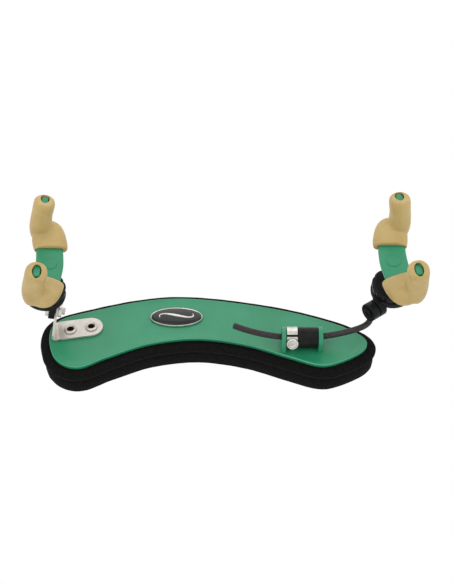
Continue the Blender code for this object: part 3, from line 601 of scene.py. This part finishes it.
def buildClamp():
    s = clampSizes
    left = plateSizes["leftEarX"] + plateSizes["earThick"] / 2 + gap
    right = plateSizes["rightEarX"] - plateSizes["earThick"] / 2 - gap
    axis = along((0, s["axisY"], s["axisZ"]), (1, 0, 0))
    shoulder, neck = left + s["bandLength"] + gap, s["bandRadius"] - s["bandWall"] - gap
    spigot, ear = plateSizes["earHole"] - gap, plateSizes["earThick"]
    profile = roundedProfile([(0, right + ear), (spigot, right + ear), (spigot, right), (s["radius"], right),
                              (s["radius"], shoulder), (neck, shoulder), (neck, left), (spigot, left),
                              (spigot, left - ear), (0, left - ear)], 0.45)
    sleeve = placed(lathe("clampSleeve", profile, 80), axis)
    bore = loft("bore", tubeRings([arcPoint(-14 + k) for k in range(29)], [s["boreRadius"]] * 29))
    addPiece("clampSleeve", cut(sleeve, bore), finish["blackPlastic"], "clamp",
             ["clamp_sleeve"])
    rings = []
    edge = 0.25
    section = [(s["bandRadius"] - s["bandWall"], left), (s["bandRadius"] - edge, left),
               (s["bandRadius"], left + edge), (s["bandRadius"], left + s["bandLength"] - edge),
               (s["bandRadius"] - edge, left + s["bandLength"]),
               (s["bandRadius"] - s["bandWall"], left + s["bandLength"])]
    first = math.radians(180 + s["slotTurn"] + s["slotHalf"])
    for k in range(73):
        a = first - math.radians(360 - 2 * s["slotHalf"]) * k / 72
        rings.append([(x, s["axisY"] + r * math.cos(a), s["axisZ"] - r * math.sin(a)) for r, x in section])
    addPiece("clampBand", loft("clampBand", rings), finish["brightNickel"], "clamp",
             ["clamp_band"])
    lift = math.radians(s["screwLift"])
    bandMiddle = left + s["bandLength"] / 2
    screwAxis = along((bandMiddle, s["axisY"], s["axisZ"]), (0, -math.cos(lift), math.sin(lift)))
    seat, head = s["bandRadius"] + 0.4, s["screwHead"]
    shape = [(0, seat + 1.6), (head - 1.2, seat + 1.7), (head - 0.9, seat + 2.2), (head - 0.35, seat + 2.2),
             (head, seat + 1.85), (head, seat + 0.2), (head - 0.3, seat), (1.2, seat), (1.2, 5.9), (0, 5.9)]
    screw = lathe("clampScrew", shape, 96,
                  lambda a, r, h: r - 0.16 * (0.5 + 0.5 * math.cos(24 * a)) if r > head - 0.4 else r)
    blade = prism("blade", [(-2.1, -0.35), (2.1, -0.35), (2.1, 0.35), (-2.1, 0.35)], seat + 1.0, seat + 4)
    blade = placed(blade, Matrix.Rotation(0.5, 4, "Z"))
    addPiece("clampScrew", placed(cut(screw, blade), screwAxis), finish["brightNickel"], "clamp_screw",
             ["clamp_screw"])


def crossBlades(depthLow, depthHigh, reach, half):
    blades = []
    for turn in (0, math.pi / 2):
        outline = [(-reach, -half), (reach, -half), (reach, half), (-reach, half)]
        blades.append(placed(prism("blade", outline, depthLow, depthHigh), Matrix.Rotation(turn, 4, "Z")))
    return blades


def buildHinge():
    axis = along(eyeCentre, hingeWay)
    half, radius, core = hingeSizes["thick"] / 2, hingeSizes["radius"], hingeSizes["screw"] + gap
    eye = roundedProfile([(core, half), (radius, half), (radius, -half), (4.0, -half), (3.7, 0.5 - half),
                          (core, 0.5 - half)], 0.55)
    addPiece("rodEye", placed(lathe("rodEye", eye, 72), axis), finish["blackPlastic"], "rod",
             ["rod_eye"])
    head, tail = 0.5 - half - gap, hingeSizes["pitch"] + half + gap
    screw = roundedProfile([(0, head - 1.3), (2.6, head - 0.9), (2.6, head), (1.25, head), (1.25, tail + 1.6),
                            (0, tail + 1.6)], 0.3)
    mesh = cut(lathe("hingeScrew", screw, 48), *crossBlades(head - 3, head - 0.6, 1.5, 0.28))
    addPiece("hingeScrew", placed(mesh, axis), finish["blackPlastic"], "rod", ["hinge_screw"])
    nut = roundedProfile([(core, tail + 1.4), (3.0, tail + 1.4), (3.0, tail), (core, tail)], 0.25)
    addPiece("hingeNut", placed(lathe("hingeNut", nut, 72, hexRim(2.65)), axis), finish["brightNickel"],
             "rod", ["hinge_nut"])


buildClamp()
buildRod()
buildHinge()
print("clamp and rod done")


# ---- fork carriers, wheels, posts and hubs ----
def softCopy(name, node, voxel, passes, body):
    # a CAD shape with its edges worn round
    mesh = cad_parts[node].data.copy()
    work = bmesh.new()
    work.from_mesh(mesh)
    bmesh.ops.remove_doubles(work, verts=work.verts, dist=0.002 * mm)
    work.to_mesh(mesh)
    work.free()
    addPiece(name, melted(mesh, voxel, passes), finish["blackPlastic"], body, [node],
             sharp=0)


wheelSizes = {"radius": 12.6, "top": -20.6, "bottom": -25.2, "lobes": 12, "lobeDepth": 0.45, "ribs": 36,
              "ribRadius": 0.22}
postSizes = {"radius": 2.5, "pitch": 1.0, "depth": 0.28, "bottom": {"left": -42.0, "right": -32.0},
             "top": -8.4}


def wheelRim(angle, radius, height):
    if radius < wheelSizes["radius"] - 1.5:
        return radius
    lobe = (0.5 + 0.5 * math.cos(wheelSizes["lobes"] * angle)) ** 4
    return radius - wheelSizes["lobeDepth"] * lobe


def ribTree():
    # upright ribs round a circle: count, circle radius, rib radius and rib height are inputs
    tree = bpy.data.node_groups.new("rimRibs", "GeometryNodeTree")
    tree.interface.new_socket("Geometry", in_out="INPUT", socket_type="NodeSocketGeometry")
    sockets = {}
    kinds = {"Count": "Int", "Circle Radius": "Float", "Rib Radius": "Float", "Height": "Float",
             "Finish": "Material"}
    for name, kind in kinds.items():
        made = tree.interface.new_socket(name, in_out="INPUT", socket_type="NodeSocket" + kind)
        sockets[name] = made.identifier
    tree.interface.new_socket("Geometry", in_out="OUTPUT", socket_type="NodeSocketGeometry")
    nodes, links = tree.nodes, tree.links
    given, result = nodes.new("NodeGroupInput"), nodes.new("NodeGroupOutput")
    circle, rib = nodes.new("GeometryNodeMeshCircle"), nodes.new("GeometryNodeMeshCylinder")
    spread, real = nodes.new("GeometryNodeInstanceOnPoints"), nodes.new("GeometryNodeRealizeInstances")
    paint = nodes.new("GeometryNodeSetMaterial")
    rib.inputs["Vertices"].default_value = 10
    links.new(given.outputs["Count"], circle.inputs["Vertices"])
    links.new(given.outputs["Circle Radius"], circle.inputs["Radius"])
    links.new(given.outputs["Rib Radius"], rib.inputs["Radius"])
    links.new(given.outputs["Height"], rib.inputs["Depth"])
    links.new(circle.outputs["Mesh"], spread.inputs["Points"])
    links.new(rib.outputs["Mesh"], spread.inputs["Instance"])
    links.new(spread.outputs["Instances"], real.inputs["Geometry"])
    links.new(real.outputs["Geometry"], paint.inputs["Geometry"])
    links.new(given.outputs["Finish"], paint.inputs["Material"])
    links.new(paint.outputs["Geometry"], result.inputs["Geometry"])
    return tree, sockets


def rimRibs(name, tree, sockets, values):
    holder = temporary(name, bpy.data.meshes.new(name))
    modifier = holder.modifiers.new("ribs", "NODES")
    modifier.node_group = tree
    for key, value in values.items():
        modifier[sockets[key]] = value
    return evaluated(holder)


def buildPost(side):
    low, high = postSizes["bottom"][side], postSizes["top"]
    rows = int((high - low) / postSizes["pitch"] * 8)
    profile = [(0, high)] + [(postSizes["radius"], high + (low - high) * k / rows) for k in range(rows + 1)] \
        + [(0, low)]
    mesh = lathe("post", profile, 32, threadRim(postSizes["pitch"], postSizes["depth"]))
    addPiece(f"{side}Post", placed(mesh, leanOf(side)), finish["blackPlastic"], f"{side}_post",
             [f"{side}_post"], sharp=60)


def buildWheel(side, tree, sockets):
    s = wheelSizes
    bore = postSizes["radius"] + gap
    profile = roundedProfile([(bore, s["top"]), (s["radius"] - 3.2, s["top"]),
                              (s["radius"] - 2.8, s["top"] + 0.01), (s["radius"], s["top"]),
                              (s["radius"], s["bottom"]), (bore, s["bottom"])], 0.8)
    mesh = lathe("wheel", profile, 192, wheelRim)
    addPiece(f"{side}HeightWheel", placed(mesh, leanOf(side)), finish["blackPlastic"], f"{side}_wheel",
             [f"{side}_height_wheel"])
    ribs = rimRibs("ribs", tree, sockets, {"Count": s["ribs"], "Circle Radius": (s["radius"] - 3.4) * mm,
                                           "Rib Radius": s["ribRadius"] * mm, "Height": 0.5 * mm,
                                           "Finish": finish["blackPlastic"]})
    placed(ribs, leanOf(side) @ at(0, 0, s["top"] + 0.1))
    addPiece(f"{side}WheelDots", ribs, finish["blackPlastic"], f"{side}_wheel")


# ---- fork bars and rubber boots ----
# rows are: outwards, towards the fork's end, up, width, depth
barRows = [(0.0, 0.0, -1.4, 16.4, 2.8), (0.3, 6.0, -1.4, 16.2, 2.8), (0.9, 11.0, -1.4, 16.0, 2.8),
           (2.0, 16.0, -1.4, 14.6, 2.8), (4.2, 21.0, -0.5, 11.4, 3.2), (7.0, 24.4, 3.0, 8.4, 4.4),
           (8.6, 25.8, 9.0, 6.2, 5.6), (8.6, 26.4, 15.5, 5.0, 6.8), (8.2, 27.2, 22.6, 4.8, 7.8),
           (8.2, 27.3, 23.8, 3.2, 6.0)]
bootSizes = {"voxel": 0.42, "smoothPasses": 14, "wall": 0.45, "tipHole": (5.4, 8.8), "tipTilt": 20.0}
saddleRows = [(0.0, 12.0, -1.3, 19.0, 6.8), (0.15, 12.7, -1.3, 20.2, 8.6), (0.9, 16.0, -1.3, 20.8, 10.4),
              (1.8, 19.6, -1.2, 20.6, 12.2), (2.8, 23.2, -0.6, 19.6, 13.4), (3.8, 26.4, 0.2, 17.4, 13.2),
              (4.6, 29.0, 0.9, 13.4, 10.8), (5.0, 30.6, 1.2, 8.2, 6.8)]
fingerRows = [(6.4, 25.2, -5.2, 7.0, 7.0), (6.8, 25.2, -4.2, 10.4, 10.4), (7.4, 25.0, -0.8, 12.6, 12.6),
              (8.0, 25.0, 4.0, 13.4, 13.4), (8.4, 25.4, 9.0, 13.0, 13.2), (8.5, 26.2, 15.0, 12.5, 12.8),
              (8.3, 27.0, 20.4, 12.8, 12.8), (8.2, 27.5, 23.2, 12.2, 12.2), (8.2, 27.8, 24.4, 10.4, 10.6),
              (8.2, 27.9, 24.9, 7.6, 8.2)]


def pathFrames(rows):
    frames = []
    for k, row in enumerate(rows):
        before, after = rows[max(k - 1, 0)], rows[min(k + 1, len(rows) - 1)]
        way = (Vector(after[:3]) - Vector(before[:3])).normalized()
        sideways = Vector((1, 0, 0))
        sideways = (sideways - way * sideways.dot(way)).normalized()
        frames.append((Vector(row[:3]), sideways, way.cross(sideways)))
    return frames


def squareOval(spot, sideways, deep, width, depth, sides, power):
    ring = []
    for k in range(sides):
        a = 2 * math.pi * (k + 0.5) / sides
        c, s = math.cos(a), math.sin(a)
        x = math.copysign(abs(c) ** (2 / power), c) * width / 2
        y = math.copysign(abs(s) ** (2 / power), s) * depth / 2
        ring.append(spot + sideways * x + deep * y)
    return ring


def rowLoft(name, rows, steps, sides, power, grow=0.0):
    rows = smoothRows(rows, steps)
    rings = [squareOval(*f, r[3] + grow, r[4] + grow, sides, power) for f, r in zip(pathFrames(rows), rows)]
    return loft(name, rings)


def bootMesh():
    # one boot of the right fork's far end; the others are its mirror images
    saddle, finger = rowLoft("saddle", saddleRows, 4, 40, 2.5), rowLoft("finger", fingerRows, 4, 40, 2.2)
    solid = joined("boot", saddle, finger)
    skin = melted(solid, bootSizes["voxel"], bootSizes["smoothPasses"])
    inner = [(0.6, 8.0, -1.4, 16.2, 2.9)] + barRows[2:]
    hollow = rowLoft("hollow", inner, 3, 28, 4.0, 2 * bootSizes["wall"])
    wide, deep = bootSizes["tipHole"]
    turns = [2 * math.pi * k / 40 for k in range(40)]
    oval = [(wide / 2 * math.cos(a), deep / 2 * math.sin(a)) for a in turns]
    mouth = prism("tipHole", oval, -3.5, 8)
    tilt = Matrix.Rotation(math.radians(-bootSizes["tipTilt"]), 4, "X")
    placed(mouth, at(8.2, 27.9, 23.4) @ tilt)
    return cut(cut(skin, hollow), mouth)


def buildFork(side, boot):
    s = forks[side]
    turned = turnedOf(side)
    whole = [row for row in barRows[:0:-1]]
    whole = [(o, -t, z, w, d) for o, t, z, w, d in whole] + barRows
    mesh = rowLoft("forkBar", whole, 5, 32, 5.0)
    flip = Matrix.Diagonal((s["out"], 1, 1, 1))
    addPiece(f"{side}ForkBar", placed(mesh, turned @ flip), finish["greenPlastic"], f"{side}_fork",
             [f"{side}_fork_bar"], sharp=40)
    disc = roundedProfile([(0, 0.45), (4.1, 0.45), (4.3, -0.6), (0, -0.6)], 0.35)
    addPiece(f"{side}ForkBoss", placed(lathe("boss", disc, 56), turned), finish["greenPlastic"],
             f"{side}_fork")
    for name, end in (("near", -1), ("far", 1)):
        mirror = Matrix.Diagonal((s["out"], end, 1, 1))
        mesh = placed(boot.copy(), turned @ mirror)
        addPiece(f"{side}{name.capitalize()}Boot", mesh, finish["amberRubber"], f"{side}_fork",
                 [f"{side}_{name}_boot"], sharp=60)


softCopy("leftCarrier", "left_carrier", 0.32, 4, "left_carrier")
softCopy("rightCarrier", "right_carrier", 0.32, 4, "right_carrier")
ribGroup, ribSockets = ribTree()
bootShape = bootMesh()
for side in forks:
    buildPost(side)
    buildWheel(side, ribGroup, ribSockets)
    softCopy(f"{side}Hub", f"{side}_hub", 0.3, 4, f"{side}_fork")
    buildFork(side, bootShape)
print("forks done")

# ---- light and camera ----
# each lamp is: place, width, power
studio = {"target": (0, 7.4, 43.5), "camera": (0, -562.8, 575.5), "lens": 78.35, "worldStrength": 1.0,
          "lamps": {"keyLight": ((-500, -500, 900), 900, 3.0), "fillLight": ((700, -200, 700), 800, 1.5),
                    "backLight": ((0, 800, 700), 900, 1.5)}}


def buildStudio():
    scene = bpy.context.scene
    scene.view_settings.view_transform = "Standard"
    world = scene.world or bpy.data.worlds.new("studio")
    scene.world = world
    world.use_nodes = True
    back = world.node_tree.nodes["Background"]
    back.inputs["Color"].default_value = (1, 1, 1, 1)
    back.inputs["Strength"].default_value = studio["worldStrength"]
    for name, (spot, size, power) in studio["lamps"].items():
        lamp = bpy.data.lights.new(name, "AREA")
        lamp.energy, lamp.size = power, size * mm
        holder = bpy.data.objects.new(name, lamp)
        scene.collection.objects.link(holder)
        holder.location = Vector(spot) * mm
        holder.rotation_euler = (-Vector(spot)).to_track_quat("-Z", "Y").to_euler()
    lens = bpy.data.cameras.new("camera")
    lens.lens, lens.sensor_width, lens.clip_start = studio["lens"], 36, 0.01
    camera = bpy.data.objects.new("camera", lens)
    scene.collection.objects.link(camera)
    camera.location = Vector(studio["camera"]) * mm
    look = Vector(studio["target"]) - Vector(studio["camera"])
    camera.rotation_euler = look.to_track_quat("-Z", "Y").to_euler()
    scene.camera = camera


buildStudio()
print("all pieces made")
